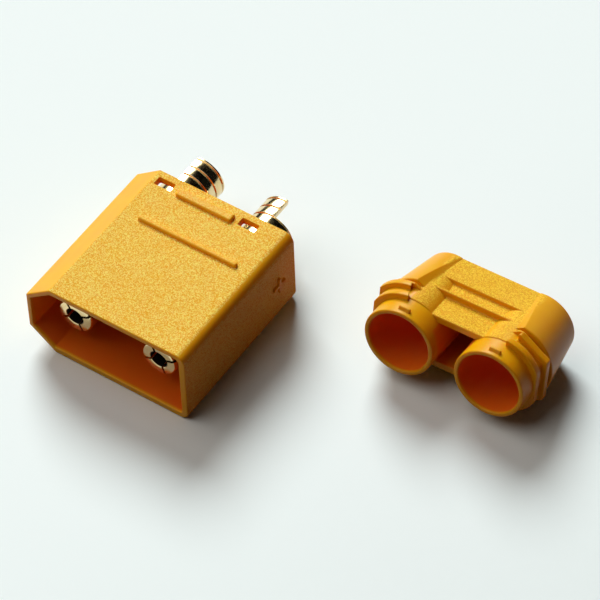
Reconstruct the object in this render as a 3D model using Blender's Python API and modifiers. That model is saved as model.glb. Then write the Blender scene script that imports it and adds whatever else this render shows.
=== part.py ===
"""Two-pole battery connector: pin housing, its two contacts and its wire cover taken off.

The origin is the middle of the housing's bottom face. X points to the positive contact,
Y from the mating mouth to the solder cups and Z up. Lengths are in metres.
"""

import math

import bmesh
import bpy
from mathutils import Matrix

MM = 0.001

# What the two halves share
CONTACT_PITCH = 11.0 * MM
TUBE_DIAMETER = 8.36 * MM

# Housing
HOUSING_LENGTH = 20.6 * MM
SOCKET_CLEARANCE = 0.13 * MM
SOCKET_EXTRA_DEPTH = 0.3 * MM
SOCKET_WALL = 0.79 * MM
SOCKET_SIDE_WALL = 0.59 * MM
KEY_CHAMFER_WIDTH = 3.25 * MM
KEY_CHAMFER_HEIGHT = 2.6 * MM
TOP_CORNER_RADIUS = 1.25 * MM
BOTTOM_CORNER_RADIUS = 1.1 * MM
RIM_ROUNDING = 0.15 * MM
BACK_THICKNESS = 8.0 * MM
KEY_SIDE_WALL = 0.6 * MM
PLAIN_SIDE_WALL = 0.8 * MM
TOP_WALL = 0.7 * MM
BOTTOM_WALL = 0.8 * MM

# Contacts
FIT_GAP = 0.3 * MM
PIN_DIAMETER = 4.5 * MM
PIN_NOSE_ROUNDING = 0.3 * MM
PIN_NOSE_LENGTH = 0.9 * MM
PIN_RECESS = 1.9 * MM
PIN_WALL = 1.2 * MM
PIN_BORE_DEPTH = 8.4 * MM
PIN_SLOT_WIDTH = 0.36 * MM
PIN_SLOT_LENGTH = 7.6 * MM
BARREL_STEP = 0.55 * MM
BARREL_FROM_REAR = 7.0 * MM
COLLAR_STEP = 0.45 * MM
COLLAR_FROM_REAR = 5.7 * MM
COLLAR_WIDTH = 1.2 * MM
CUP_OVERHANG = 5.5 * MM
CUP_WALL = 0.8 * MM
CUP_BORE_DEPTH = 7.1 * MM
CUP_GROOVE_COUNT = 3
CUP_GROOVE_PITCH = 1.27 * MM
CUP_GROOVE_FIRST = 0.35 * MM
CUP_GROOVE_WIDTH = 0.34 * MM
CUP_GROOVE_DEPTH = 0.2 * MM
POSITIVE_CUP_ANGLE = math.radians(172)
POSITIVE_CUP_OPENING = 2.8 * MM
POSITIVE_SLOT_ANGLE = math.radians(22)
NEGATIVE_CUP_ANGLE = math.radians(12)
NEGATIVE_CUP_OPENING = 3.9 * MM
NEGATIVE_SLOT_ANGLE = math.radians(28)

# Wire cover: its tubes and its two ribs
COVER_LENGTH = 12.0 * MM
TUBE_WALL = 0.52 * MM
TUBE_REACH = 2.15 * MM
TUBE_EDGE_ROUNDING = 0.16 * MM
TUBE_TAPER = 0.73 * MM
TUBE_TAPER_LENGTH = 5.6 * MM
WIRE_HOLE_STEP = 0.61 * MM
WIRE_HOLE_LENGTH = 1.4 * MM
WIRE_HOLE_TAPER = 4.0 * MM
FRONT_RIB_LENGTH = 0.8 * MM
FRONT_RIB_STEP = 0.72 * MM
FRONT_RIB_END_STEP = 0.3 * MM
RIB_GAP = 0.8 * MM
REAR_RIB_LENGTH = 0.8 * MM
REAR_RIB_STEP = 0.67 * MM
REAR_RIB_END_STEP = 0.57 * MM
REAR_RIB_ROUND_OFFSET = 0.7 * MM
REAR_RIB_CHAMFER_WIDTH = 3.45 * MM
REAR_RIB_CHAMFER_HEIGHT = 2.25 * MM
RIB_GROOVE_INSET = 0.62 * MM
REAR_GROOVE_LENGTH = 0.4 * MM
RIB_CUT_FRONT = 0.45 * MM
RIB_CUT_REAR = 1.25 * MM
RIB_CUT_LENGTH = 2.1 * MM

# Wire cover: its lobes, the bodies inside them and the web between
LOBE_STEP = 0.87 * MM
LOBE_TAPER = 1.15 * MM
LOBE_SQUEEZE = {-1: 0.91, 1: 0.98}
LOBE_CUT_INSET = 0.15 * MM
STEP_FOOT_RISE = 0.02 * MM
STEP_ANGLE = math.radians(31)
BODY_STEP = 0.14 * MM
BODY_TAPER = 0.46 * MM
BODY_SETBACK = 0.05 * MM
WEB_LIP_SETBACK = 0.4 * MM
WEB_FRONT_RISE = 0.1 * MM
WEB_REAR_DROP = 0.36 * MM
WEB_FLOOR_DROP = 0.66 * MM
SCOOP_FLOOR_DROP = 0.58 * MM
WEB_WALL = 0.87 * MM
WEB_REAR_WALL = 0.9 * MM
WEB_OVERLAP = 0.2 * MM
BAR_THICKNESS = 0.35 * MM
FRONT_BAR_SETBACK = 3.2 * MM
BAR_SPACING = 2.2 * MM
LATCH_WIDTH = 1.35 * MM
LATCH_LENGTH = 0.5 * MM
LATCH_SETBACK = 0.42 * MM
LATCH_HEIGHT = 0.36 * MM
COVER_PLACE = (31.4 * MM, 6.93 * MM)
COVER_TURN = math.radians(1.9)

# Latch windows and raised marks on the housing
WINDOW_PLAY_LONG = 0.3 * MM
WINDOW_PLAY_WIDE = 0.4 * MM
MARK_ROOT = 0.3 * MM
BAR_HEIGHT = 0.45 * MM
BAR_ROUNDING = 0.28 * MM
LONG_BAR = (12.9 * MM, 0.6 * MM)
LONG_BAR_CENTRE = (1.4 * MM, 7.05 * MM)
SHORT_BAR = (7.3 * MM, 1.15 * MM)
SHORT_BAR_CENTRE = (0.05 * MM, 1.8 * MM)
SIGN_HEIGHT = 0.25 * MM
SIGN_LENGTH = 2.2 * MM
SIGN_STROKE = 0.45 * MM
SIGN_FROM_REAR = 3.2 * MM

# Facets and joins
ROUND_STEPS = 40
CORNER_STEPS = 6
NOSE_STEPS = 3
EDGE_STEPS = 2
SMOOTH_ANGLE = math.radians(35)
FLAT_ANGLE = math.radians(0.1)
JOIN_DISTANCE = 0.001 * MM

# Sizes that follow from the ones above
TUBE_RADIUS = TUBE_DIAMETER / 2
TUBE_BORE_RADIUS = TUBE_RADIUS - TUBE_WALL
TUBE_REAR_RADIUS = TUBE_RADIUS - TUBE_TAPER
WIRE_HOLE_RADIUS = TUBE_BORE_RADIUS - WIRE_HOLE_STEP
SOCKET_RADIUS = TUBE_RADIUS + SOCKET_CLEARANCE
SOCKET_DEPTH = TUBE_REACH + SOCKET_EXTRA_DEPTH
HOUSING_WIDTH = CONTACT_PITCH + 2 * (SOCKET_RADIUS + SOCKET_SIDE_WALL)
HOUSING_THICKNESS = 2 * (SOCKET_RADIUS + SOCKET_WALL)
MOUTH_Y = -HOUSING_LENGTH / 2
REAR_Y = HOUSING_LENGTH / 2
AXIS_Z = HOUSING_THICKNESS / 2
LEFT_X = -HOUSING_WIDTH / 2
RIGHT_X = HOUSING_WIDTH / 2
CAVITY_DEPTH = HOUSING_LENGTH - BACK_THICKNESS
BARREL_START = HOUSING_LENGTH - BARREL_FROM_REAR
COLLAR_START = HOUSING_LENGTH - COLLAR_FROM_REAR
PIN_RADIUS = PIN_DIAMETER / 2
PIN_TIP_RADIUS = PIN_RADIUS - PIN_NOSE_ROUNDING
PIN_BORE_RADIUS = PIN_RADIUS - PIN_WALL
BARREL_RADIUS = PIN_RADIUS + BARREL_STEP
COLLAR_RADIUS = BARREL_RADIUS + COLLAR_STEP
CUP_BORE_RADIUS = BARREL_RADIUS - CUP_WALL
REAR_RIB_HALF_WIDTH = CONTACT_PITCH / 2 + TUBE_RADIUS + REAR_RIB_END_STEP
REAR_RIB_HALF_HEIGHT = TUBE_RADIUS + REAR_RIB_STEP
REAR_RIB_ROUND_CENTRE = -(CONTACT_PITCH / 2 + REAR_RIB_ROUND_OFFSET)
REAR_RIB_START = TUBE_REACH + FRONT_RIB_LENGTH + RIB_GAP
REAR_RIB_END = REAR_RIB_START + REAR_RIB_LENGTH
FRONT_RIB_HALF_WIDTH = CONTACT_PITCH / 2 + TUBE_RADIUS + FRONT_RIB_END_STEP
FRONT_RIB_RADIUS = TUBE_RADIUS + FRONT_RIB_STEP
LOBE_START = REAR_RIB_END + REAR_GROOVE_LENGTH
LOBE_FRONT_RADIUS = TUBE_RADIUS + LOBE_STEP
LOBE_REAR_RADIUS = LOBE_FRONT_RADIUS - LOBE_TAPER
LOBE_TILT = math.atan2(LOBE_TAPER, COVER_LENGTH - LOBE_START)
LOBE_INNER_EDGE = CONTACT_PITCH / 2 - LOBE_CUT_INSET
STEP_FOOT_HEIGHT = TUBE_RADIUS + STEP_FOOT_RISE
BODY_RADIUS = TUBE_RADIUS + BODY_STEP
BODY_REAR_RADIUS = BODY_RADIUS - BODY_TAPER
OVERCUT = 1.0 * MM
CUT_LAP = 0.1 * MM


def remove_everything():
    for obj in list(bpy.data.objects):
        bpy.data.objects.remove(obj, do_unlink=True)


def make_collection(name):
    collection = bpy.data.collections.new(name)
    bpy.context.scene.collection.children.link(collection)
    return collection


def make_material(name, colour, roughness, metallic):
    material = bpy.data.materials.new(name)
    material.use_nodes = True
    shader = material.node_tree.nodes["Principled BSDF"]
    shader.inputs["Base Color"].default_value = (*colour, 1.0)
    shader.inputs["Roughness"].default_value = roughness
    shader.inputs["Metallic"].default_value = metallic
    return material


def add_object(name, data, collection, parent=None):
    obj = bpy.data.objects.new(name, data)
    collection.objects.link(obj)
    obj.parent = parent
    return obj


def hide_as_cutter(obj):
    obj.hide_render = True
    obj.display_type = "WIRE"
    return obj


def shade_round(mesh):
    mesh.shade_smooth()
    mesh.set_sharp_from_angle(angle=SMOOTH_ANGLE)


def arc(centre, radius, start, end, steps=CORNER_STEPS):
    """Points from one angle to the other, both included, around a centre."""
    turn = [math.radians(start + (end - start) * i / steps) for i in range(steps + 1)]
    return [(centre[0] + radius * math.cos(a), centre[1] + radius * math.sin(a)) for a in turn]


def chamfer_after_inset(width, height, side, face, slope):
    """The chamfer left when a side, a face and the slope between them move inward."""
    scale = 1 + slope * math.hypot(1 / width, 1 / height) - side / width - face / height
    return width * scale, height * scale


def housing_outline(side=0.0, plain_side=0.0, top=0.0, bottom=0.0):
    """The housing's section in X and Z, moved inward by its walls for the cavity."""
    left, right = LEFT_X + side, RIGHT_X - plain_side
    low, high = bottom, HOUSING_THICKNESS - top
    upper = chamfer_after_inset(KEY_CHAMFER_WIDTH, KEY_CHAMFER_HEIGHT, side, top, side)
    lower = chamfer_after_inset(KEY_CHAMFER_WIDTH, KEY_CHAMFER_HEIGHT, side, bottom, side)
    round_top = max(TOP_CORNER_RADIUS - top, RIM_ROUNDING)
    round_low = max(BOTTOM_CORNER_RADIUS - bottom, RIM_ROUNDING)
    points = [(left, low + lower[1]), (left + lower[0], low)]
    points += arc((right - round_low, low + round_low), round_low, -90, 0)
    points += arc((right - round_top, high - round_top), round_top, 0, 90)
    points += [(left + upper[0], high), (left, high - upper[1])]
    return points


def blunt_arcs(centre, radius, edge):
    """A round end to the left of a centre, its nose cut off square at an edge."""
    stop = math.degrees(math.acos((edge - centre) / radius))
    return arc((centre, 0.0), radius, 90, stop) + arc((centre, 0.0), radius, 360 - stop, 270)


def rear_rib_outline(inset=0.0):
    """The rear rib's section in X and Z: round at one end, chamfered at the other."""
    half_width = REAR_RIB_HALF_WIDTH - inset
    half_height = REAR_RIB_HALF_HEIGHT - inset
    chamfer = (REAR_RIB_CHAMFER_WIDTH, REAR_RIB_CHAMFER_HEIGHT)
    wide, high = chamfer_after_inset(*chamfer, inset, inset, inset)
    points = blunt_arcs(REAR_RIB_ROUND_CENTRE, half_height, -half_width)
    points += [(half_width - wide, -half_height), (half_width, -half_height + high)]
    points += [(half_width, half_height - high), (half_width - wide, half_height)]
    return points


def front_rib_outline():
    """The front rib's section in X and Z: round about both tubes, both noses cut off square."""
    left = blunt_arcs(-CONTACT_PITCH / 2, FRONT_RIB_RADIUS, -FRONT_RIB_HALF_WIDTH)
    return left + [(-x, z) for x, z in reversed(left)]


def plate(name, outline, start, end, collection, plane="XZ", rounding=0.0, parent=None):
    """A flat outline given a thickness, as a closed mesh.

    In plane XZ it reaches from start to end along Y, in XY along Z and in YZ along X.
    """
    curve = bpy.data.curves.new(name, "CURVE")
    curve.dimensions = "2D"
    curve.fill_mode = "BOTH"
    curve.extrude = (end - start) / 2 - rounding
    curve.bevel_depth = rounding
    curve.bevel_resolution = 1
    curve.offset = -rounding
    spline = curve.splines.new("POLY")
    spline.points.add(len(outline) - 1)
    for point, (u, v) in zip(spline.points, outline):
        point.co = (u, v, 0.0, 1.0)
    spline.use_cyclic_u = True
    flat = add_object(name + "_outline", curve, collection)
    bpy.context.view_layer.update()
    mesh = bpy.data.meshes.new_from_object(flat.evaluated_get(bpy.context.evaluated_depsgraph_get()))
    bpy.data.objects.remove(flat)
    bpy.data.curves.remove(curve)

    middle = (start + end) / 2
    on_side = Matrix(((0, 0, 1, 0), (1, 0, 0, 0), (0, 1, 0, 0), (0, 0, 0, 1)))
    turns = {
        "XZ": Matrix.Translation((0, middle, 0)) @ Matrix.Rotation(math.pi / 2, 4, "X"),
        "XY": Matrix.Translation((0, 0, middle)),
        "YZ": Matrix.Translation((middle, 0, 0)) @ on_side,
    }
    mesh.transform(turns[plane])
    shape = bmesh.new()
    shape.from_mesh(mesh)
    bmesh.ops.remove_doubles(shape, verts=shape.verts, dist=JOIN_DISTANCE)
    bmesh.ops.dissolve_limit(shape, angle_limit=FLAT_ANGLE, verts=shape.verts, edges=shape.edges)
    bmesh.ops.recalc_face_normals(shape, faces=shape.faces)
    shape.to_mesh(mesh)
    shape.free()
    mesh.name = name
    return add_object(name, mesh, collection, parent)


def box(name, low, high, collection, rounding=0.0, parent=None):
    """A block between two corners, its edges rounded on request."""
    shape = bmesh.new()
    bmesh.ops.create_cube(shape, size=1.0)
    size = [b - a for a, b in zip(low, high)]
    middle = [(a + b) / 2 for a, b in zip(low, high)]
    bmesh.ops.scale(shape, vec=size, verts=shape.verts)
    bmesh.ops.translate(shape, vec=middle, verts=shape.verts)
    mesh = bpy.data.meshes.new(name)
    shape.to_mesh(mesh)
    shape.free()
    block = add_object(name, mesh, collection, parent)
    if rounding:
        edges = block.modifiers.new("Rounded edges", "BEVEL")
        edges.width = rounding
        edges.segments = EDGE_STEPS
    return block


def turned(name, profile, collection, parent=None, half_step=False):
    """A profile of radius and depth pairs, swept around the Y axis from its deep end.

    With half_step its facets lie between those of the other round shapes on its axis.
    """
    mesh = bpy.data.meshes.new(name)
    points = [(radius, depth, 0.0) for radius, depth in profile]
    mesh.from_pydata(points, [(i, i + 1) for i in range(len(points) - 1)], [])
    if half_step:
        mesh.transform(Matrix.Rotation(math.pi / ROUND_STEPS, 4, "Y"))
    shape = add_object(name, mesh, collection, parent)
    sweep = shape.modifiers.new("Sweep", "SCREW")
    sweep.axis = "Y"
    sweep.angle = 2 * math.pi
    sweep.steps = ROUND_STEPS
    sweep.render_steps = ROUND_STEPS
    sweep.use_merge_vertices = True
    sweep.merge_threshold = JOIN_DISTANCE
    sweep.use_smooth_shade = False
    return shape


def combine(target, tool, operation):
    change = target.modifiers.new(tool.name, "BOOLEAN")
    change.operation = operation
    change.solver = "EXACT"
    change.object = tool
    hide_as_cutter(tool)


def make_empty(name, collection, location, rotation=(0.0, 0.0, 0.0)):
    empty = add_object(name, None, collection)
    empty.location = location
    empty.rotation_euler = rotation
    return empty


def contact_hole_profile():
    """Radius and depth pairs of the stepped hole that holds a contact, rear end first."""
    pin = PIN_RADIUS + FIT_GAP
    barrel = BARREL_RADIUS + FIT_GAP
    collar = COLLAR_RADIUS + FIT_GAP
    socket = SOCKET_RADIUS
    floor = HOUSING_LENGTH - SOCKET_DEPTH
    collar_rear = COLLAR_START + COLLAR_WIDTH + FIT_GAP
    collar_front = COLLAR_START - FIT_GAP
    shoulder = BARREL_START - FIT_GAP
    return [
        (0.0, HOUSING_LENGTH + OVERCUT), (socket, HOUSING_LENGTH + OVERCUT), (socket, floor),
        (barrel, floor), (barrel, collar_rear), (collar, collar_rear),
        (collar, collar_front), (barrel, collar_front), (barrel, shoulder),
        (pin, shoulder), (pin, CAVITY_DEPTH - OVERCUT), (0.0, CAVITY_DEPTH - OVERCUT),
    ]


def contact_profile():
    """Radius and depth pairs of a contact, from the floor of its solder cup to its pin bore."""
    end = HOUSING_LENGTH + CUP_OVERHANG
    barrel, collar, cup, bore = BARREL_RADIUS, COLLAR_RADIUS, CUP_BORE_RADIUS, PIN_BORE_RADIUS
    profile = [(0.0, end - CUP_BORE_DEPTH), (cup, end - CUP_BORE_DEPTH), (cup, end), (barrel, end)]
    for groove in range(CUP_GROOVE_COUNT):
        centre = end - CUP_GROOVE_FIRST - groove * CUP_GROOVE_PITCH
        profile += [
            (barrel, centre + CUP_GROOVE_WIDTH / 2),
            (barrel - CUP_GROOVE_DEPTH, centre),
            (barrel, centre - CUP_GROOVE_WIDTH / 2),
        ]
    profile += [
        (barrel, COLLAR_START + COLLAR_WIDTH), (collar, COLLAR_START + COLLAR_WIDTH),
        (collar, COLLAR_START), (barrel, COLLAR_START), (barrel, BARREL_START),
        (PIN_RADIUS, BARREL_START),
    ]
    for step in range(NOSE_STEPS + 1):
        swing = step / NOSE_STEPS * math.pi / 2
        radius = PIN_TIP_RADIUS + PIN_NOSE_ROUNDING * math.cos(swing)
        profile.append((radius, PIN_RECESS + PIN_NOSE_LENGTH * (1 - math.sin(swing))))
    profile += [(bore, PIN_RECESS), (bore, PIN_RECESS + PIN_BORE_DEPTH), (0.0, PIN_RECESS + PIN_BORE_DEPTH)]
    return profile


def build_housing(parts, tools, plastic):
    housing = plate("housing", housing_outline(), MOUTH_Y, REAR_Y, parts, rounding=RIM_ROUNDING)
    cavity = plate(
        "mating_cavity",
        housing_outline(KEY_SIDE_WALL, PLAIN_SIDE_WALL, TOP_WALL, BOTTOM_WALL),
        MOUTH_Y - OVERCUT, MOUTH_Y + CAVITY_DEPTH, tools,
    )
    combine(housing, cavity, "DIFFERENCE")
    for side, label in ((-1, "negative"), (1, "positive")):
        centre = side * CONTACT_PITCH / 2
        hole = turned(label + "_contact_hole", contact_hole_profile(), tools)
        hole.location = (centre, MOUTH_Y, AXIS_Z)
        combine(housing, hole, "DIFFERENCE")
        add_latch_window(housing, label, centre, tools)
    add_raised_marks(housing, tools)
    housing.data.materials.append(plastic)
    shade_round(housing.data)
    return housing


def add_latch_window(housing, label, centre, tools):
    """Windows through both broad walls, where the cover's latches come to rest."""
    half = LATCH_WIDTH / 2 + WINDOW_PLAY_WIDE
    seated_latch = REAR_Y - TUBE_REACH + LATCH_SETBACK
    front = seated_latch - WINDOW_PLAY_LONG
    back = seated_latch + LATCH_LENGTH + WINDOW_PLAY_LONG
    window = box(
        label + "_latch_window",
        (centre - half, front, -OVERCUT), (centre + half, back, HOUSING_THICKNESS + OVERCUT), tools,
    )
    combine(housing, window, "DIFFERENCE")


def add_raised_marks(housing, tools):
    top = HOUSING_THICKNESS
    bars = (("long_bar", LONG_BAR, LONG_BAR_CENTRE), ("short_bar", SHORT_BAR, SHORT_BAR_CENTRE))
    for label, size, centre in bars:
        x, y = centre[0], REAR_Y - centre[1]
        bar = box(
            label,
            (x - size[0] / 2, y - size[1] / 2, top - MARK_ROOT),
            (x + size[0] / 2, y + size[1] / 2, top + BAR_HEIGHT), tools, rounding=BAR_ROUNDING,
        )
        combine(housing, bar, "UNION")
    y = REAR_Y - SIGN_FROM_REAR
    long, short = SIGN_LENGTH / 2, SIGN_STROKE / 2
    for label, side, half_y, half_z in (
        ("plus_across", 1, long, short), ("plus_upright", 1, short, long), ("minus", -1, long, short),
    ):
        face = side * HOUSING_WIDTH / 2
        reach = sorted((face - side * MARK_ROOT, face + side * SIGN_HEIGHT))
        stroke = box(
            label, (reach[0], y - half_y, AXIS_Z - half_z), (reach[1], y + half_y, AXIS_Z + half_z), tools,
        )
        combine(housing, stroke, "UNION")


def build_contact(name, side, cup_angle, cup_opening, slot_angle, parts, tools, metal):
    """One turned pin with a split tip and a solder cup that is open along its last stretch."""
    centre = (side * CONTACT_PITCH / 2, MOUTH_Y, AXIS_Z)
    contact = turned(name, contact_profile(), parts)
    contact.location = centre
    half = BARREL_RADIUS + OVERCUT
    end = HOUSING_LENGTH + CUP_OVERHANG
    opening = box(
        name + "_cup_opening", (-half, end - cup_opening, -half), (0.0, end + OVERCUT, half), tools,
    )
    opening.location = centre
    opening.rotation_euler = (0.0, -cup_angle, 0.0)
    combine(contact, opening, "DIFFERENCE")
    for index in range(2):
        slot = box(
            f"{name}_slot_{index + 1}",
            (-PIN_DIAMETER, PIN_RECESS - OVERCUT, -PIN_SLOT_WIDTH / 2),
            (PIN_DIAMETER, PIN_RECESS + PIN_SLOT_LENGTH, PIN_SLOT_WIDTH / 2), tools,
        )
        slot.location = centre
        slot.rotation_euler = (0.0, -(slot_angle + index * math.pi / 2), 0.0)
        combine(contact, slot, "DIFFERENCE")
    contact.data.materials.append(metal)
    return contact


def tube_profile():
    """Radius and depth pairs of a cover tube's outside, rear end first."""
    radius, rounding = TUBE_RADIUS, TUBE_EDGE_ROUNDING
    end = COVER_LENGTH - WEB_REAR_WALL / 2
    return [
        (0.0, end), (TUBE_REAR_RADIUS, end), (radius, end - TUBE_TAPER_LENGTH),
        (radius, rounding), (radius - rounding, 0.0), (0.0, 0.0),
    ]


def body_profile():
    """Radius and depth pairs of the thicker body behind a tube's mouth, rear end first."""
    end = COVER_LENGTH - WEB_REAR_WALL / 3
    start = TUBE_REACH + WEB_LIP_SETBACK + BODY_SETBACK
    return [
        (0.0, end), (BODY_REAR_RADIUS, end), (BODY_RADIUS, end - TUBE_TAPER_LENGTH),
        (BODY_RADIUS, start), (0.0, start),
    ]


def bore_profile():
    """Radius and depth pairs of the way through a cover tube, rear end first."""
    bore, hole = TUBE_BORE_RADIUS, WIRE_HOLE_RADIUS
    neck = COVER_LENGTH - WIRE_HOLE_LENGTH
    return [
        (0.0, COVER_LENGTH + OVERCUT), (hole, COVER_LENGTH + OVERCUT), (hole, neck),
        (bore, neck - WIRE_HOLE_TAPER), (bore, -OVERCUT), (0.0, -OVERCUT),
    ]


def lobe_profile():
    """Radius and depth pairs of the tapered lobe around a cover tube, rear end first."""
    return [
        (0.0, COVER_LENGTH), (LOBE_REAR_RADIUS, COVER_LENGTH),
        (LOBE_FRONT_RADIUS, LOBE_START), (0.0, LOBE_START),
    ]


def web_outline():
    """Side view, in Y and Z, of the plates between the tubes, with their scoops and bars."""
    lip = TUBE_REACH + WEB_LIP_SETBACK
    floor = TUBE_RADIUS - WEB_FLOOR_DROP
    inside = floor - WEB_WALL
    scoop = TUBE_RADIUS - SCOOP_FLOOR_DROP
    front_height = TUBE_RADIUS + WEB_FRONT_RISE
    rear_height = TUBE_RADIUS - WEB_REAR_DROP
    front_bar = lip + FRONT_BAR_SETBACK
    rear_bar = front_bar + BAR_SPACING
    back = COVER_LENGTH
    slope = (rear_height - front_height) / (back - front_bar)

    def height(y):
        return front_height + slope * (y - front_bar)

    upper = [
        (lip, inside), (lip, floor), (front_bar, floor), (front_bar, height(front_bar)),
        (front_bar + BAR_THICKNESS, height(front_bar + BAR_THICKNESS)),
        (front_bar + BAR_THICKNESS, scoop), (rear_bar, scoop), (rear_bar, height(rear_bar)),
        (back, rear_height),
    ]
    lower = [(y, -z) for y, z in reversed(upper)]
    return upper + lower + [(back - WEB_REAR_WALL, -inside), (back - WEB_REAR_WALL, inside)]


def rib_cutaway_outline():
    """Plan view, in X and Y, of the middle that the ribs leave clear."""
    centre = CONTACT_PITCH / 2
    slant = (RIB_CUT_REAR - RIB_CUT_FRONT) / RIB_CUT_LENGTH
    half = [
        (centre + RIB_CUT_FRONT - slant * OVERCUT, TUBE_REACH - OVERCUT),
        (centre + RIB_CUT_REAR, TUBE_REACH + RIB_CUT_LENGTH),
    ]
    return half + [(-x, y) for x, y in reversed(half)]


def lobe_cutaway_outline():
    """Rear view, in X and Z, of the middle that the lobes leave clear, with sloped steps."""
    top = 2 * LOBE_FRONT_RADIUS
    flare = (top - STEP_FOOT_HEIGHT) / math.tan(STEP_ANGLE)
    quarter = [(LOBE_INNER_EDGE, STEP_FOOT_HEIGHT), (LOBE_INNER_EDGE + flare, top)]
    right = [(x, -z) for x, z in reversed(quarter)] + quarter
    return right + [(-x, z) for x, z in reversed(right)]


def build_cover(parts, tools, plastic):
    """The snap-on wire cover, resting on the tapered underside of its two lobes."""
    lift = COVER_LENGTH * math.sin(LOBE_TILT) + LOBE_REAR_RADIUS * math.cos(LOBE_TILT)
    stand = make_empty("wire_cover_stand", parts, (*COVER_PLACE, lift), (-LOBE_TILT, 0.0, COVER_TURN))

    shell = plate(
        "cover_shell", rear_rib_outline(RIB_GROOVE_INSET),
        TUBE_REACH + FRONT_RIB_LENGTH / 2, LOBE_START + RIB_GAP, tools, parent=stand,
    )
    front_rib = plate(
        "cover_front_rib", front_rib_outline(),
        TUBE_REACH, TUBE_REACH + FRONT_RIB_LENGTH, tools, parent=stand,
    )
    rear_rib = plate(
        "cover_rear_rib", rear_rib_outline(), REAR_RIB_START, REAR_RIB_END, tools, parent=stand,
    )
    for rib in (front_rib, rear_rib):
        combine(shell, rib, "UNION")
    rib_cutaway = plate(
        "cover_rib_cutaway", rib_cutaway_outline(), -2 * LOBE_FRONT_RADIUS, 2 * LOBE_FRONT_RADIUS, tools,
        plane="XY", parent=stand,
    )
    lobe_cutaway = plate(
        "cover_lobe_cutaway", lobe_cutaway_outline(),
        TUBE_REACH + RIB_CUT_LENGTH - CUT_LAP, COVER_LENGTH + OVERCUT, tools, parent=stand,
    )

    web_reach = LOBE_INNER_EDGE + WEB_OVERLAP
    cover = plate("wire_cover", web_outline(), -web_reach, web_reach, parts, plane="YZ", parent=stand)
    for side, label in ((-1, "negative"), (1, "positive")):
        lobe = turned(label + "_cover_lobe", lobe_profile(), tools, stand)
        lobe.location.x = side * CONTACT_PITCH / 2
        lobe.scale.x = LOBE_SQUEEZE[side]
        combine(shell, lobe, "UNION")
    for cutaway in (rib_cutaway, lobe_cutaway):
        combine(shell, cutaway, "DIFFERENCE")
    for side, label in ((-1, "negative"), (1, "positive")):
        tube = turned(label + "_cover_tube", tube_profile(), tools, stand)
        tube.location.x = side * CONTACT_PITCH / 2
        combine(cover, tube, "UNION")
        body = turned(label + "_cover_body", body_profile(), tools, stand, half_step=True)
        body.location.x = side * CONTACT_PITCH / 2
        body.scale.x = LOBE_SQUEEZE[side]
        combine(cover, body, "UNION")
    combine(cover, shell, "UNION")
    for side, label in ((-1, "negative"), (1, "positive")):
        centre = side * CONTACT_PITCH / 2
        add_latches(cover, label, centre, tools, stand)
        bore = turned(label + "_cover_bore", bore_profile(), tools, stand, half_step=True)
        bore.location.x = centre
        combine(cover, bore, "DIFFERENCE")
    cover.data.materials.append(plastic)
    shade_round(cover.data)
    return cover


def add_latches(cover, label, centre, tools, stand):
    """A ramped catch on the top and one on the bottom of a tube."""
    crest = TUBE_RADIUS + LATCH_HEIGHT
    root = TUBE_RADIUS - TUBE_EDGE_ROUNDING
    end = LATCH_SETBACK + LATCH_LENGTH
    ramp = [(LATCH_SETBACK, root), (LATCH_SETBACK + LATCH_LENGTH / 2, crest), (end, crest), (end, root)]
    for sign, place in ((1, "top"), (-1, "bottom")):
        outline = [(y, sign * z) for y, z in ramp]
        latch = plate(
            f"{label}_{place}_latch", outline, centre - LATCH_WIDTH / 2, centre + LATCH_WIDTH / 2, tools,
            plane="YZ", parent=stand,
        )
        combine(cover, latch, "UNION")


def main():
    remove_everything()
    parts = make_collection("battery_connector")
    tools = make_collection("cutters")
    housing_plastic = make_material("Housing nylon", (0.86, 0.45, 0.03), 0.42, 0.0)
    cover_plastic = make_material("Cover nylon", (0.88, 0.44, 0.02), 0.36, 0.0)
    plating = make_material("Gold plating", (0.86, 0.72, 0.45), 0.22, 1.0)
    build_housing(parts, tools, housing_plastic)
    build_contact(
        "negative_contact", -1, NEGATIVE_CUP_ANGLE, NEGATIVE_CUP_OPENING, NEGATIVE_SLOT_ANGLE,
        parts, tools, plating,
    )
    build_contact(
        "positive_contact", 1, POSITIVE_CUP_ANGLE, POSITIVE_CUP_OPENING, POSITIVE_SLOT_ANGLE,
        parts, tools, plating,
    )
    build_cover(parts, tools, cover_plastic)


main()
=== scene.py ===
"""Looks for a keyed two-pole battery connector and its wire cover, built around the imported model."""

import math
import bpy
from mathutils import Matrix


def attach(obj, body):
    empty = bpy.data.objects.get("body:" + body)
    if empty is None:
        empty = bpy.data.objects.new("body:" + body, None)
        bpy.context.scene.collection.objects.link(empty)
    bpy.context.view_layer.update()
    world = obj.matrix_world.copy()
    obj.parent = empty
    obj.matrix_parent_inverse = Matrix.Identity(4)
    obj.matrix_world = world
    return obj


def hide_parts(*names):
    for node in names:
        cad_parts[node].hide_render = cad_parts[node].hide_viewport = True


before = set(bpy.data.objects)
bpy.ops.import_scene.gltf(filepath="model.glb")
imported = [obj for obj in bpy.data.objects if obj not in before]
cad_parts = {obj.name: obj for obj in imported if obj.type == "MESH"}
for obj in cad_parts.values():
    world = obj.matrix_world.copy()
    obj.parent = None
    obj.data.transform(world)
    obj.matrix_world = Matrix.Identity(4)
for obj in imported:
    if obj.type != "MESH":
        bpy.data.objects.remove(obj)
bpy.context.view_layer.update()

from types import SimpleNamespace

import bmesh
import bpy
from bpy.props import FloatProperty, FloatVectorProperty, IntProperty, PointerProperty
from mathutils import Matrix, Vector

bl_info = {
    "name": "Battery Connector",
    "version": (1, 0, 0),
    "blender": (4, 5, 0),
    "location": "View3D > Sidebar > Connector",
    "description": "Makes a pin housing, its split contacts and its push-on wire cover",
    "category": "Add Mesh",
}

MM = 0.001

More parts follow.
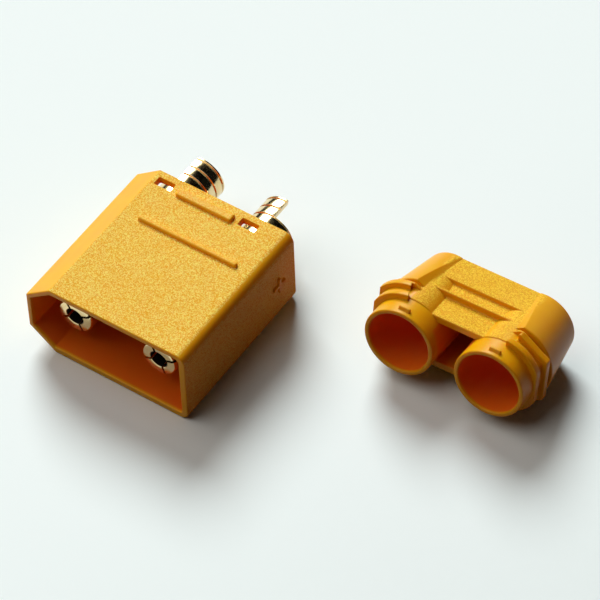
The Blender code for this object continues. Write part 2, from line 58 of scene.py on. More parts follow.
# Shapes are made in millimetres, then brought to metres
OVERCUT = 1.0
CUT_LAP = 0.1
FLARE_STOP = math.radians(72)
STRAIGHT = math.pi - 0.01
EDGE_SHARE = 0.48
CORE_RADIUS = 0.05
MERGE_DISTANCE = 1e-4
FACE_WEIGHT = 60

# The sockets of a Mix node that belong to its colours
MIX_FIRST, MIX_SECOND, MIX_RESULT = 6, 7, 2

# Pin housing, in millimetres
KEY_CHAMFER = (3.25, 2.6)
EDGE_RADIUS = 0.3
TOP_CORNER_RADIUS = 1.25
BOTTOM_CORNER_RADIUS = 1.1
KEY_SIDE_WALL = 0.6
PLAIN_SIDE_WALL = 0.8
TOP_WALL = 0.7
BOTTOM_WALL = 0.8
CAVITY_DEPTH = 12.6
CAVITY_CORNER_RADIUS = 0.25
SOCKET_CLEARANCE = 0.13
SOCKET_DEPTH = 2.45
MARK_ROOT = 0.15
BAR_HEIGHT = 0.45
BAR_ROUNDING = 0.27
LONG_BAR = (12.9, 0.6)
LONG_BAR_CENTRE = (1.4, 7.05)
SHORT_BAR = (7.3, 1.15)
SHORT_BAR_CENTRE = (0.05, 1.8)
SIGN_HEIGHT = 0.25
SIGN_ROUNDING = 0.11
SIGN_LENGTH = 2.2
SIGN_STROKE = 0.45
SIGN_FROM_REAR = 3.2
WINDOW_HALF_WIDTH = 1.075
WINDOW_FRONT = 2.03
WINDOW_BACK = 0.93
WINDOW_CORNER = 0.12
WINDOW_STOP = 0.2
WINDOW_FLARE = 0.07
MOUTH_FLARE = 0.14
SOCKET_FLARE = 0.12
CAVITY_FLOOR_ROUNDING = 0.2
BAR_EDGE = BAR_ROUNDING * 0.98
FINE_STEPS = 8
HOUSING_CREASE = math.radians(32)

# Contacts, in millimetres
TIP_RADIUS = 1.95
NOSE_LENGTH = 0.9
PIN_RECESS = 1.9
PIN_BORE_RADIUS = 1.05
PIN_BORE_DEPTH = 8.4
PIN_SLOT_WIDTH = 0.3
PIN_SLOT_LENGTH = 7.6
BARREL_RADIUS = 2.8
BARREL_START = 13.6
COLLAR_RADIUS = 3.25
COLLAR_START = 14.9
COLLAR_WIDTH = 1.2
CUP_OVERHANG = 5.5
CUP_BORE_RADIUS = 2.0
CUP_BORE_DEPTH = 7.1
GROOVE_COUNT = 3
GROOVE_PITCH = 1.27
GROOVE_FIRST = 0.35
GROOVE_WIDTH = 0.26
GROOVE_DEPTH = 0.2
SNUG_GAP = 0.03
POSITIVE_CUP_ANGLE = math.radians(172)
POSITIVE_CUP_OPENING = 2.8
POSITIVE_SLOT_ANGLE = math.radians(22)
NEGATIVE_CUP_ANGLE = math.radians(12)
NEGATIVE_CUP_OPENING = 3.9
NEGATIVE_SLOT_ANGLE = math.radians(28)
SLOT_NUDGE = 0.0007
CUP_CONE = 0.6
BORE_CONE = 0.3
BORE_CHAMFER = 0.12
CONE_TIP = 0.02
FINE_EDGE = 0.05
SMALL_EDGE = 0.08
CUP_EDGE = 0.1
COLLAR_EDGE = 0.12
GROOVE_FOOT = 0.04
CONTACT_CREASE = math.radians(28)

# Wire cover, in millimetres
TUBE_WALL = 0.52
TUBE_REACH = 2.15
TUBE_TAPER = 0.73
TUBE_TAPER_LENGTH = 5.6
WIRE_HOLE_STEP = 0.61
WIRE_HOLE_LENGTH = 1.4
WIRE_HOLE_TAPER = 4.0
FRONT_RIB_LENGTH = 0.8
FRONT_RIB_STEP = 0.72
FRONT_RIB_END_STEP = 0.3
RIB_GAP = 0.8
REAR_RIB_LENGTH = 0.8
REAR_RIB_STEP = 0.67
REAR_RIB_END_STEP = 0.57
REAR_RIB_ROUND_OFFSET = 0.7
REAR_RIB_CHAMFER = (3.45, 2.25)
RIB_GROOVE_INSET = 0.62
REAR_GROOVE_LENGTH = 0.4
RIB_CUT_FRONT = 0.45
RIB_CUT_REAR = 1.25
RIB_CUT_LENGTH = 2.1
LOBE_STEP = 0.87
LOBE_TAPER = 1.15
LOBE_SQUEEZE = {-1: 0.91, 1: 0.98}
LOBE_CUT_INSET = 0.65
STEP_FOOT_RISE = -0.28
STEP_ANGLE = math.radians(31)
BODY_STEP = 0.14
BODY_TAPER = 0.46
BODY_SETBACK = 0.05
WEB_LIP_SETBACK = 0.4
WEB_FRONT_RISE = 0.1
WEB_REAR_DROP = 0.36
WEB_FLOOR_DROP = 0.66
SCOOP_FLOOR_DROP = 0.58
WEB_WALL = 0.87
WEB_REAR_WALL = 0.9
WEB_OVERLAP = 0.2
BAR_THICKNESS = 0.35
FRONT_BAR_SETBACK = 3.2
BAR_SPACING = 2.2
LATCH_WIDTH = 1.35
LATCH_LENGTH = 0.5
LATCH_SETBACK = 0.42
LATCH_HEIGHT = 0.36
LATCH_ROOT = 0.2
LATCH_EDGES = (0, 0.08, 0.1, 0)
LATCH_END = 0.07
LOBE_EDGES = (0, 0.16, 0.22, 0)
STEP_TOP_RISE = 2.0
RIB_CORNER = 0.3
RIB_END_STEPS = 14
TUBE_RIM = 0.17
TUBE_FLARE = 0.14
BODY_RIM = 0.13
WIRE_HOLE_FLARE = 0.2
WEB_LIP_EDGE = 0.12
WEB_EDGE = 0.14
WEB_FOOT = 0.2
WEB_REAR_EDGE = 0.3
COVER_CREASE = math.radians(30)
COVER_PLACE = (31.4, 6.93)
COVER_TURN = math.radians(1.9)

# How much of the grain the raised marks have, and what share of the recesses' painted shade the right-hand
# sides get
MARK_GRAIN = 0.55
SIDE_PAINTED_SHADE = 0.36
# How deep the painted shade in the grain's pits is, and the softness of the cover's edges in millimetres
HOUSING_PIT_SHADE = 0.6
WEB_PIT_SHADE = 0.45
COVER_SOFT_EDGE = 0.16

# Where a finish fades: bands beside a face, in millimetres, and how squarely a face looks one way
GRAIN_BAND = (-0.25, -0.1)
MARK_BAND = (0.06, 0.12)
SQUARE_ON = (0.88, 0.97)
END_FACING = (0.6, 0.9)
SIDE_FACING = (0.1, 0.85)
MOUTH_SIDE_BAND = (-0.7, -0.45)
MOUTH_FACE_BAND = (-0.75, -0.5)
MOUTH_DEPTH_BAND = (0.08, 0.5)
KEY_BAND = (0.15, 0.42)
WEB_SIDE_BAND = (0.1, 0.5)
WEB_FRONT_BAND = (0.4, 0.5)
WEB_TOP_BAND = (0.1, 0.2)
WEB_HEIGHT_BAND = (2.6, 3.1)
WEB_FACING = (0.78, 0.98)
TUBE_BORE_BAND = (0.05, 0.2)
TUBE_DEPTH_BAND = (0.08, 0.45)
GAP_SIDE_BAND = (1.9, 3.1)
GAP_HEIGHT_BAND = (2.5, 2.8)
GAP_DEPTH_BAND = (0.3, 1.7)
GROOVE_BAND = (-GROOVE_DEPTH, -0.06)
CUP_WALL_BAND = (-0.1, 0.0)
CUP_BAND = (11.5, 11.6)
PIN_BORE_BAND = (0.03, 0.1)

# Nylon. Each noise has a size in millimetres, a detail and a roughness
GRAIN_FINENESS = 0.65
GRAIN_DETAIL = (1.5, 0.6)
CHANCE_SHARE = 0.5
# Painted glint highlights on the grain's raised points
GLINT_RANGE = (0.46, 0.6)
# Painted shade in the grain's pits
PIT_SHADE_RANGE = (0.36, 0.48)
PIT_SHADE_TINT = (0.88, 0.74, 0.5)
CELL_HEIGHT = -0.8
GRAIN_ROUGHNESS = 0.26
DRIFT = (3.0, 3.0, 0.6)
DRIFT_RANGE = (0.3, 0.7)
DRIFT_TINT = (0.97, 0.93, 0.75)
DRIFT_ROUGHNESS = (0.2, 0.8, 0.32, 0.38)
WAVES = (0.9, 2.0, 0.5)
WAVE_HEIGHT = 0.2
NYLON_BUMP = 0.9
EDGE_SAMPLES = 4
NYLON_SHINE = {
    "IOR": 1.53, "Specular IOR Level": 0.17, "Subsurface Weight": 0.4,
    "Subsurface Radius": (1.0, 0.25, 0.05), "Subsurface Scale": 0.0007,
}

# Plating
TURNING_STRETCH = 0.6
TURNING_LINES = (0.09, 3.0, 0.7)
TURNING_BUMP = 0.35
TURNING_HEIGHT = 0.004
BLOTCH = (1.2, 3.0, 0.6)
BLOTCH_RANGE = (0.35, 0.7)
BLOTCH_TINT = (0.97, 0.9, 0.76)
BLOTCH_ROUGHNESS = (0.2, 0.8, 0.1, 0.2)
BORE_ROUGHNESS = 0.6

# Camera and floor, in metres, with the lens and the sensor in millimetres
CAMERA_PLACE = (0.16499, -0.20433, 0.31161)
CAMERA_LOOK = (-0.37709, 0.52499, -0.76301)
CAMERA_UP = (-0.41196, 0.64277, 0.64586)
CAMERA_LENS = 224.78
CAMERA_SENSOR = 36.0
CAMERA_CLIP = (0.01, 50.0)
FLOOR_DROP = 0.00002
FLOOR_REACH = 4.0
FLOOR_SLANT = -0.4
# Painted shade: the floor greys a little towards the right
FLOOR_FALLOFF_BAND = (0.0, 0.08)
FLOOR_FALLOFF_SHADE = (0.9, 0.9, 0.9)
FLOOR_FIBRE = (1.6, 4.0, 0.6)
FLOOR_TONE = (0.3, 0.7, 0.92, 1.0)
FLOOR_SHINE = {"Roughness": 0.6, "Specular IOR Level": 0.25}

# Light: the ways that it travels, its softness, the room around it and the black cards
KEY_WAY = Vector((0.551, -0.532, -0.643))
FILL_WAY = Vector((0.48, 0.224, -0.848))
FILL_SOFTNESS = math.radians(54)
ROOM_DIM = 0.004
ROOM_BRIGHT = 0.07
ROOM_EDGE = -0.2
BACKDROP = (0.87, 0.92, 0.9, 1.0)
FLOOR_BOUNCE = (0.23, 0.16, 0.15, 1.0)
CARDS = (
    ((0.35, -0.15, 0.0), (0.35, 0.9, 0.0), (0.35, 0.9, 0.5), (0.35, -0.15, 0.5)),
    ((-0.16, 0.12, 0.5), (0.35, 0.12, 0.5), (0.35, 0.9, 0.5), (-0.16, 0.9, 0.5)),
    ((-0.7, -0.1, 0.0), (-0.1, 0.7, 0.0), (-0.1, 0.7, 0.17), (-0.7, -0.1, 0.17)),
)
CARD_FIBRE = (8.0, 3.0, 0.5)
CARD_BLACKS = ((0.004, 0.005, 0.005, 1.0), (0.012, 0.014, 0.014, 1.0))


def length(name, description, default):
    """A size that a user can change, given here in millimetres."""
    return FloatProperty(
        name=name, description=description, default=default * MM, min=0.0, unit="LENGTH", precision=5,
    )


def colour(name, description, default):
    return FloatVectorProperty(
        name=name, description=description, default=default, min=0.0, max=1.0, size=3, subtype="COLOR",
    )


def strength(name, description, default):
    return FloatProperty(name=name, description=description, default=default, min=0.0)


class ConnectorSizes(bpy.types.PropertyGroup):
    """Sizes that the housing, the contacts and the cover share."""

    contact_pitch: length("Contact pitch", "Distance between the two contacts", 11.0)
    housing_length: length("Housing length", "From the mating mouth to the rear face", 20.6)
    housing_width: length("Housing width", "Across both contacts", 20.8)
    housing_thickness: length("Housing thickness", "From the bottom face to the top face", 10.2)
    rim_rounding: length("Rim rounding", "Rounding of the housing's front and rear edges", 0.17)
    pin_diameter: length("Pin diameter", "Outside of a split pin", 4.5)
    tube_diameter: length("Tube diameter", "Outside of a cover tube", 8.36)
    cover_length: length("Cover length", "From the tube mouths to the wire holes", 12.0)
    cover_edge: length("Cover edges", "Rounding of the cover's ribs", 0.13)
    round_steps: IntProperty(
        name="Round steps", description="Facets around a round shape", default=96, min=16, max=256,
    )


class ConnectorFinishes(bpy.types.PropertyGroup):
    """Colours and grain of the mouldings and of the plating."""

    housing_colour: colour("Housing nylon", "Main colour of the housing", (0.92, 0.455, 0.006))
    cover_colour: colour("Cover nylon", "Main colour of the wire cover", (0.8, 0.39, 0.001))
    # Painted shade: a deeper orange inside the mouth, inside the tubes and between the tubes
    recess_painted_shade: colour("Recess shade", "Nylon inside the mouth and the tubes", (0.85, 0.17, 0.01))
    # Painted glint highlights on the raised points of the grain, on the housing and on the web
    glint_painted_highlight: colour("Grain glint", "Colour of the raised points of the grain", (1.0, 0.75, 0.15))
    web_glint_painted_highlight: colour("Web glint", "Raised points of the grain on the cover's web", (0.94, 0.6, 0.03))
    plating_colour: colour("Gold plating", "Colour of the plated contacts", (0.85, 0.68, 0.38))
    # Painted shade at the foot of the turned grooves
    groove_painted_shade: colour("Groove shade", "Colour at the foot of the turned grooves", (0.42, 0.33, 0.17))
    # Painted shade, near black, inside the drilled pins
    bore_painted_shade: colour("Bore shade", "Dull metal inside the drilled pins", (0.014, 0.01, 0.008))
    grain_size: length("Grain size", "Width of one point of the spark-eroded grain", 0.09)
    grain_depth: length("Grain depth", "Height of the spark-eroded grain", 0.034)


class ConnectorStage(bpy.types.PropertyGroup):
    """Light and floor."""

    floor_colour: colour("Floor colour", "Colour of the pale floor", (0.885, 0.96, 0.935))
    key_strength: strength("Key light", "Strength of the light from behind on the left", 3.24)
    key_tint: colour("Key tint", "Tint of the light from behind on the left", (0.935, 0.98, 1.0))
    key_softness: FloatProperty(
        name="Key softness", description="How wide the key light looks", default=math.radians(30),
        min=0.0, max=math.pi, subtype="ANGLE",
    )
    fill_strength: strength("Fill light", "Strength of the softer light from the front left", 1.05)
    fill_tint: colour("Fill tint", "Tint of the softer light from the front left", (1.0, 0.895, 0.847))
    room_strength: strength("Room light", "Strength of the light from the room", 1.0)


def sizes_in_mm(context):
    """The shared sizes in millimetres, with those that follow from them."""
    stored = context.scene.connector_sizes
    names = [key for key in stored.__annotations__ if key != "round_steps"]
    size = SimpleNamespace(**{key: getattr(stored, key) / MM for key in names})
    size.round_steps = stored.round_steps
    size.mouth = -size.housing_length / 2
    size.rear = size.housing_length / 2
    size.axis = size.housing_thickness / 2
    size.contact = size.contact_pitch / 2
    size.pin = size.pin_diameter / 2
    size.tube = size.tube_diameter / 2
    size.bore = size.tube - TUBE_WALL
    return size


# Outlines


def fillet(points, radii, closed=True, steps=5):
    """The line of points with each corner rounded by its own radius."""
    made = []
    count = len(points)
    for i, radius in enumerate(radii):
        here = Vector(points[i])
        if radius <= 0 or not (closed or 0 < i < count - 1):
            made.append(here)
            continue
        back = Vector(points[i - 1]) - here
        ahead = Vector(points[(i + 1) % count]) - here
        angle = back.angle(ahead)
        if angle > STRAIGHT:
            made.append(here)
            continue
        reach = min(radius / math.tan(angle / 2), back.length * EDGE_SHARE, ahead.length * EDGE_SHARE)
        radius = reach * math.tan(angle / 2)
        middle = (back.normalized() + ahead.normalized()).normalized()
        centre = here + middle * (radius / math.sin(angle / 2))
        first = here + back.normalized() * reach - centre
        last = here + ahead.normalized() * reach - centre
        turn = math.atan2(first.x * last.y - first.y * last.x, first.dot(last))
        made += [centre + Matrix.Rotation(turn * k / steps, 2) @ first for k in range(steps + 1)]
    return made


def inset(points, distance):
    """A closed line of points moved inward, to its left, or outward when negative."""
    if not distance:
        return list(points)
    moved = []
    count = len(points)
    for i, here in enumerate(points):
        back = (here - points[i - 1]).normalized()
        ahead = (points[(i + 1) % count] - here).normalized()
        middle = Vector((-back.y - ahead.y, back.x + ahead.x))
        moved.append(here + middle * (2 * distance / middle.length_squared))
    return moved


def with_mirror(line):
    """The line, then its mirror image on the other side, back from the line's end."""
    return line + [Vector((-p.x, p.y)) for p in reversed(line)]


def arc(centre, radius, start, end, steps):
    """Points from one angle in degrees to the other around a centre."""
    turns = [math.radians(start + (end - start) * k / steps) for k in range(steps + 1)]
    return [Vector((centre[0] + radius * math.cos(a), centre[1] + radius * math.sin(a))) for a in turns]


def rounded_end(place, radius, inward, steps=4):
    """Insets and places that round the end of a prism, from its end to its side."""
    turns = [k / steps * math.pi / 2 for k in range(steps + 1)]
    return [(radius * (1 - math.sin(a)), place + inward * radius * (1 - math.cos(a))) for a in turns]


def flared_end(place, radius, inward, steps=4):
    """Insets and places of a cutter that leaves a rounded rim, from outside inward."""
    turns = [FLARE_STOP * (1 - k / steps) for k in range(steps + 1)]
    outside = [(-radius - OVERCUT, place - inward * OVERCUT)]
    rim = [(-radius * (1 - math.cos(a)), place + inward * radius * (1 - math.sin(a))) for a in turns]
    return outside + rim


# Meshes


def put_in_scene(name, data):
    made = bpy.data.objects.new(name, data)
    bpy.context.scene.collection.objects.link(made)
    return made


def object_from(name, shape):
    """An object whose mesh is the shape, which is then freed."""
    mesh = bpy.data.meshes.new(name)
    shape.to_mesh(mesh)
    shape.free()
    return put_in_scene(name, mesh)


def loft(name, rings):
    """A closed mesh through rings of points, with a face over each end."""
    shape = bmesh.new()
    rows = [[shape.verts.new(point) for point in ring] for ring in rings]
    for low, high in zip(rows, rows[1:]):
        for i in range(len(low)):
            j = (i + 1) % len(low)
            shape.faces.new((low[i], low[j], high[j], high[i]))
    shape.faces.new(rows[0])
    shape.faces.new(rows[-1])
    bmesh.ops.recalc_face_normals(shape, faces=shape.faces)
    return object_from(name, shape)


def prism(name, outline, stations, plane="XZ"):
    """An outline carried through its stations, each an inset and a place along the third axis."""
    put = {
        "XZ": lambda u, v, w: (u, w, v),
        "XY": lambda u, v, w: (u, v, w),
        "YZ": lambda u, v, w: (w, u, v),
    }[plane]
    return loft(name, [[put(p[0], p[1], w) for p in inset(outline, d)] for d, w in stations])


def soft_prism(name, outline, start, end, radius, plane="XZ"):
    """A prism from one place to another, rounded at both ends."""
    stations = rounded_end(start, radius, 1) + rounded_end(end, radius, -1)[::-1]
    return prism(name, outline, stations, plane)


def turned(name, profile, steps, centre=(0.0, 0.0), half_step=False, squeeze=1.0):
    """A line of radius and depth pairs swept around an axis along Y."""
    lead = 0.5 if half_step else 0.0
    turns = [(k + lead) / steps * 2 * math.pi for k in range(steps)]
    return loft(name, [
        [(centre[0] + r * math.cos(a) * squeeze, y, centre[1] + r * math.sin(a)) for a in turns]
        for r, y in profile
    ])


def combine(piece, tools, operation):
    """Joins or cuts with each tool in turn, then throws the tools away."""
    for tool in tools:
        change = piece.modifiers.new(tool.name, "BOOLEAN")
        change.operation = operation
        change.solver = "EXACT"
        change.object = tool
    apply_modifiers(piece)
    for tool in tools:
        mesh = tool.data
        bpy.data.objects.remove(tool)
        bpy.data.meshes.remove(mesh)


def apply_modifiers(piece):
    bpy.context.view_layer.update()
    seen = piece.evaluated_get(bpy.context.evaluated_depsgraph_get())
    mesh = bpy.data.meshes.new_from_object(seen)
    old = piece.data
    piece.modifiers.clear()
    piece.data = mesh
    bpy.data.meshes.remove(old)
    mesh.name = piece.name


def finish_piece(piece, material, node, crease):
    """Brings a piece to metres, shades it, dresses it and lets it stand for its CAD node."""
    mesh = piece.data
    shape = bmesh.new()
    shape.from_mesh(mesh)
    bmesh.ops.remove_doubles(shape, verts=shape.verts, dist=MERGE_DISTANCE)
    bmesh.ops.dissolve_degenerate(shape, edges=shape.edges, dist=MERGE_DISTANCE)
    bmesh.ops.recalc_face_normals(shape, faces=shape.faces)
    shape.to_mesh(mesh)
    shape.free()
    mesh.transform(Matrix.Scale(MM, 4))
    mesh.materials.clear()
    mesh.materials.append(material)
    mesh.shade_smooth()
    mesh.set_sharp_from_angle(angle=crease)
    even = piece.modifiers.new("Even shading", "WEIGHTED_NORMAL")
    even.keep_sharp = True
    even.weight = FACE_WEIGHT
    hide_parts(node)
    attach(piece, "root")


# Pin housing


def keyed_outline(size, side=0.0, plain=0.0, top=0.0, bottom=0.0, edge=EDGE_RADIUS):
    """The keyed section in X and Z, moved inward by the walls."""
    left, right = -size.housing_width / 2 + side, size.housing_width / 2 - plain
    low, high = bottom, size.housing_thickness - top
    wide, tall = KEY_CHAMFER
    lean = side * math.hypot(1 / wide, 1 / tall)
    upper = 1 + lean - side / wide - top / tall
    lower = 1 + lean - side / wide - bottom / tall
    points = [
        (left, low + tall * lower), (left + wide * lower, low), (right, low), (right, high),
        (left + wide * upper, high), (left, high - tall * upper),
    ]
    round_low = max(BOTTOM_CORNER_RADIUS - bottom, edge)
    round_high = max(TOP_CORNER_RADIUS - top, edge)
    return fillet(points, (edge, edge, round_low, round_high, edge, edge), steps=FINE_STEPS)


def rectangle(centre, half, radius, steps=5):
    """A rectangle around a centre, its corners rounded."""
    x, y = centre
    a, b = half
    corners = [(x - a, y - b), (x + a, y - b), (x + a, y + b), (x - a, y + b)]
    return fillet(corners, [radius] * 4, steps=steps)


def contact_hole(size, side):
    """The stepped hole around a contact, snug where the two touch, open where the cover plugs in."""
    barrel, collar = BARREL_RADIUS + SNUG_GAP, COLLAR_RADIUS + SNUG_GAP
    socket, pin = size.tube + SOCKET_CLEARANCE, size.pin + SNUG_GAP
    end = size.housing_length
    floor = end - SOCKET_DEPTH
    collar_front, collar_rear = COLLAR_START - SNUG_GAP, COLLAR_START + COLLAR_WIDTH + SNUG_GAP
    rim = [(socket - inward, y) for inward, y in flared_end(end, SOCKET_FLARE, -1)]
    inner = [
        (socket, floor), (barrel, floor), (barrel, collar_rear), (collar, collar_rear),
        (collar, collar_front), (barrel, collar_front), (barrel, BARREL_START - SNUG_GAP),
        (pin, BARREL_START - SNUG_GAP), (pin, CAVITY_DEPTH - OVERCUT),
    ]
    profile = [(r, y + size.mouth) for r, y in rim + inner]
    return turned("contact_hole", profile, size.round_steps, (side * size.contact, size.axis))


def latch_windows(size, side):
    """Two openings, one through each broad wall, with softened outer edges."""
    centre = (side * size.contact, size.rear - (WINDOW_FRONT + WINDOW_BACK) / 2)
    outline = rectangle(centre, (WINDOW_HALF_WIDTH, (WINDOW_FRONT - WINDOW_BACK) / 2), WINDOW_CORNER)
    upper = flared_end(size.housing_thickness, WINDOW_FLARE, -1) + [(0.0, size.axis + WINDOW_STOP)]
    lower = flared_end(0.0, WINDOW_FLARE, 1) + [(0.0, size.axis - WINDOW_STOP)]
    return [prism("window", outline, stations, "XY") for stations in (upper, lower)]


def raised_marks(size):
    """The two bars on top, and the plus and minus strokes on the sides."""
    marks = []
    top = size.housing_thickness
    for bar, centre in ((LONG_BAR, LONG_BAR_CENTRE), (SHORT_BAR, SHORT_BAR_CENTRE)):
        middle = (centre[0], size.rear - centre[1])
        outline = rectangle(middle, (bar[0] / 2, bar[1] / 2), BAR_ROUNDING, FINE_STEPS)
        stations = rounded_end(top + BAR_HEIGHT, BAR_EDGE, -1, FINE_STEPS) + [(0.0, top - MARK_ROOT)]
        marks.append(prism("bar", outline, stations, "XY"))
    centre = (size.rear - SIGN_FROM_REAR, size.axis)
    minus = rectangle(centre, (SIGN_LENGTH / 2, SIGN_STROKE / 2), SIGN_ROUNDING)
    for side, outline in ((1, plus_outline(centre)), (-1, minus)):
        face = side * size.housing_width / 2
        stations = rounded_end(face + side * SIGN_HEIGHT, SIGN_ROUNDING, -side)
        marks.append(prism("sign", outline, stations + [(0.0, face - side * MARK_ROOT)], "YZ"))
    return marks


def plus_outline(centre):
    """A plus sign around a centre, its outer corners softened."""
    a, b = SIGN_LENGTH / 2, SIGN_STROKE / 2
    corner = [(a, -b), (a, b), (b, b)]
    points, radii = [], []
    for quarter in range(4):
        turn = Matrix.Rotation(quarter * math.pi / 2, 2)
        points += [turn @ Vector(p) + Vector(centre) for p in corner]
        radii += [SIGN_ROUNDING, SIGN_ROUNDING, SIGN_ROUNDING / 2]
    return fillet(points, radii, steps=4)


def make_housing(context):
    size = sizes_in_mm(context)
    housing = soft_prism("housing_shell", keyed_outline(size), size.mouth, size.rear, size.rim_rounding)
    cavity_outline = keyed_outline(
        size, KEY_SIDE_WALL, PLAIN_SIDE_WALL, TOP_WALL, BOTTOM_WALL, CAVITY_CORNER_RADIUS,
    )
    floor = rounded_end(size.mouth + CAVITY_DEPTH, CAVITY_FLOOR_ROUNDING, -1)[::-1]
    cavity = prism("cavity", cavity_outline, flared_end(size.mouth, MOUTH_FLARE, 1) + floor)
    cutters = [cavity]
    for side in (-1, 1):
        cutters.append(contact_hole(size, side))
        cutters += latch_windows(size, side)
    combine(housing, cutters, "DIFFERENCE")
    combine(housing, raised_marks(size), "UNION")
    finish_piece(housing, housing_nylon(context), "housing", HOUSING_CREASE)


# Contacts


def contact_profile(size):
    """Radius and depth pairs of a contact, from its cup floor round to its pin bore."""
    end = size.housing_length + CUP_OVERHANG
    barrel, collar, cup, bore = BARREL_RADIUS, COLLAR_RADIUS, CUP_BORE_RADIUS, PIN_BORE_RADIUS
    cup_floor = end - CUP_BORE_DEPTH
    line = [
        (CONE_TIP, cup_floor + CUP_CONE, 0), (cup, cup_floor, CUP_EDGE), (cup, end, SMALL_EDGE),
        (barrel, end, CUP_EDGE),
    ]
    for groove in range(GROOVE_COUNT):
        middle = end - GROOVE_FIRST - groove * GROOVE_PITCH
        line += [
            (barrel, middle + GROOVE_WIDTH / 2, FINE_EDGE), (barrel - GROOVE_DEPTH, middle, GROOVE_FOOT),
            (barrel, middle - GROOVE_WIDTH / 2, FINE_EDGE),
        ]
    line += [
        (barrel, COLLAR_START + COLLAR_WIDTH, FINE_EDGE), (collar, COLLAR_START + COLLAR_WIDTH, COLLAR_EDGE),
        (collar, COLLAR_START, COLLAR_EDGE), (barrel, COLLAR_START, FINE_EDGE),
        (barrel, BARREL_START, CUP_EDGE), (size.pin, BARREL_START, SMALL_EDGE),
    ]
    for k in range(FINE_STEPS + 1):
        swing = k / FINE_STEPS * math.pi / 2
        radius = TIP_RADIUS + (size.pin - TIP_RADIUS) * math.cos(swing)
        line.append((radius, PIN_RECESS + NOSE_LENGTH * (1 - math.sin(swing)), 0))
    line += [
        (bore + BORE_CHAMFER, PIN_RECESS, 0), (bore, PIN_RECESS + BORE_CHAMFER, FINE_EDGE),
        (bore, PIN_RECESS + PIN_BORE_DEPTH, 0), (CONE_TIP, PIN_RECESS + PIN_BORE_DEPTH + BORE_CONE, 0),
    ]
    return fillet([p[:2] for p in line], [p[2] for p in line], closed=False, steps=3)


def make_contact(context, node, side, cup_angle, cup_opening, slot_angle):
    """One turned contact: split pin in front, collar, and a grooved cup cut open behind."""
    size = sizes_in_mm(context)
    contact = turned(node + "_turned", contact_profile(size), size.round_steps)
    end = size.housing_length + CUP_OVERHANG
    half = BARREL_RADIUS + OVERCUT
    opening = prism(
        "opening", rectangle((-half, 0.0), (half, half), 0.0),
        [(0.0, end - cup_opening), (0.0, end + OVERCUT)],
    )
    opening.data.transform(Matrix.Rotation(-cup_angle, 4, "Y"))
    slots = []
    for index in range(2):
        slot = prism(
            "slot", rectangle((0.0, 0.0), (size.pin_diameter, PIN_SLOT_WIDTH / 2), 0.0),
            [(0.0, PIN_RECESS - OVERCUT), (0.0, PIN_RECESS + PIN_SLOT_LENGTH)],
        )
        turn = slot_angle + index * math.pi / 2 + SLOT_NUDGE
        slot.data.transform(Matrix.Rotation(-turn, 4, "Y"))
        slots.append(slot)
    combine(contact, [opening] + slots, "DIFFERENCE")
    contact.data.transform(Matrix.Translation((0.0, size.mouth, 0.0)))
    contact.location = (side * size.contact * MM, 0.0, size.axis * MM)
    finish_piece(contact, gold_plating(context), node, CONTACT_CREASE)


def make_contacts(context):
    make_contact(
        context, "negative_contact", -1, NEGATIVE_CUP_ANGLE, NEGATIVE_CUP_OPENING, NEGATIVE_SLOT_ANGLE,
    )
    make_contact(
        context, "positive_contact", 1, POSITIVE_CUP_ANGLE, POSITIVE_CUP_OPENING, POSITIVE_SLOT_ANGLE,
    )


# Wire cover


def blunt_end(centre, radius, edge, steps):
    """A round end to the left of a centre, its nose cut off square at an edge."""
    stop = math.degrees(math.acos((edge - centre) / radius))
    upper = arc((centre, 0.0), radius, 90, stop, steps)
    return upper + arc((centre, 0.0), radius, 360 - stop, 270, steps)


def front_rib_outline(size):
    half = size.contact + size.tube + FRONT_RIB_END_STEP
    return with_mirror(blunt_end(-size.contact, size.tube + FRONT_RIB_STEP, -half, RIB_END_STEPS))


def rear_rib_outline(size, inward=0.0):
    half = size.contact + size.tube + REAR_RIB_END_STEP - inward
    tall = size.tube + REAR_RIB_STEP - inward
    wide, high = REAR_RIB_CHAMFER
    scale = 1 + inward * (math.hypot(1 / wide, 1 / high) - 1 / wide - 1 / high)
    wide, high = wide * scale, high * scale
    left = blunt_end(-size.contact - REAR_RIB_ROUND_OFFSET, tall, -half, RIB_END_STEPS)
    right = [(half - wide, -tall), (half, high - tall), (half, tall - high), (half - wide, tall)]
    return left + fillet(right, [RIB_CORNER] * 4, closed=False, steps=4)


def web_outline(size):
    """Side view, in Y and Z, of the plates between the tubes, with their scoops and bars."""
    lip = TUBE_REACH + WEB_LIP_SETBACK
    floor = size.tube - WEB_FLOOR_DROP
    inside = floor - WEB_WALL
    scoop = size.tube - SCOOP_FLOOR_DROP
    front_bar, back = lip + FRONT_BAR_SETBACK, size.cover_length
    rear_bar = front_bar + BAR_SPACING
    front_height, rear_height = size.tube + WEB_FRONT_RISE, size.tube - WEB_REAR_DROP
    slope = (rear_height - front_height) / (back - front_bar)
    behind = front_height + slope * BAR_THICKNESS
    at_rear_bar = front_height + slope * BAR_SPACING
    upper = [
        (lip, inside, WEB_LIP_EDGE), (lip, floor, WEB_EDGE), (front_bar, floor, WEB_FOOT),
        (front_bar, front_height, WEB_EDGE), (front_bar + BAR_THICKNESS, behind, WEB_EDGE),
        (front_bar + BAR_THICKNESS, scoop, WEB_FOOT), (rear_bar, scoop, WEB_FOOT),
        (rear_bar, at_rear_bar, WEB_EDGE), (back, rear_height, WEB_REAR_EDGE),
    ]
    lower = [(y, -z, r) for y, z, r in reversed(upper)]
    rear = [(back - WEB_REAR_WALL, height, WEB_REAR_EDGE) for height in (-inside, inside)]
    line = upper + lower + rear
    return fillet([p[:2] for p in reversed(line)], [p[2] for p in reversed(line)], steps=4)


def sleeve_line(start, radius, taper, rear, end, rim, steps):
    """Half of a solid sleeve's section: a rounded rim, a straight side, then a tapered one."""
    line = [(CORE_RADIUS, start), (radius, start), (radius, taper), (rear, end), (CORE_RADIUS, end)]
    return fillet(line, (0, rim, 0, 0, 0), closed=False, steps=steps)


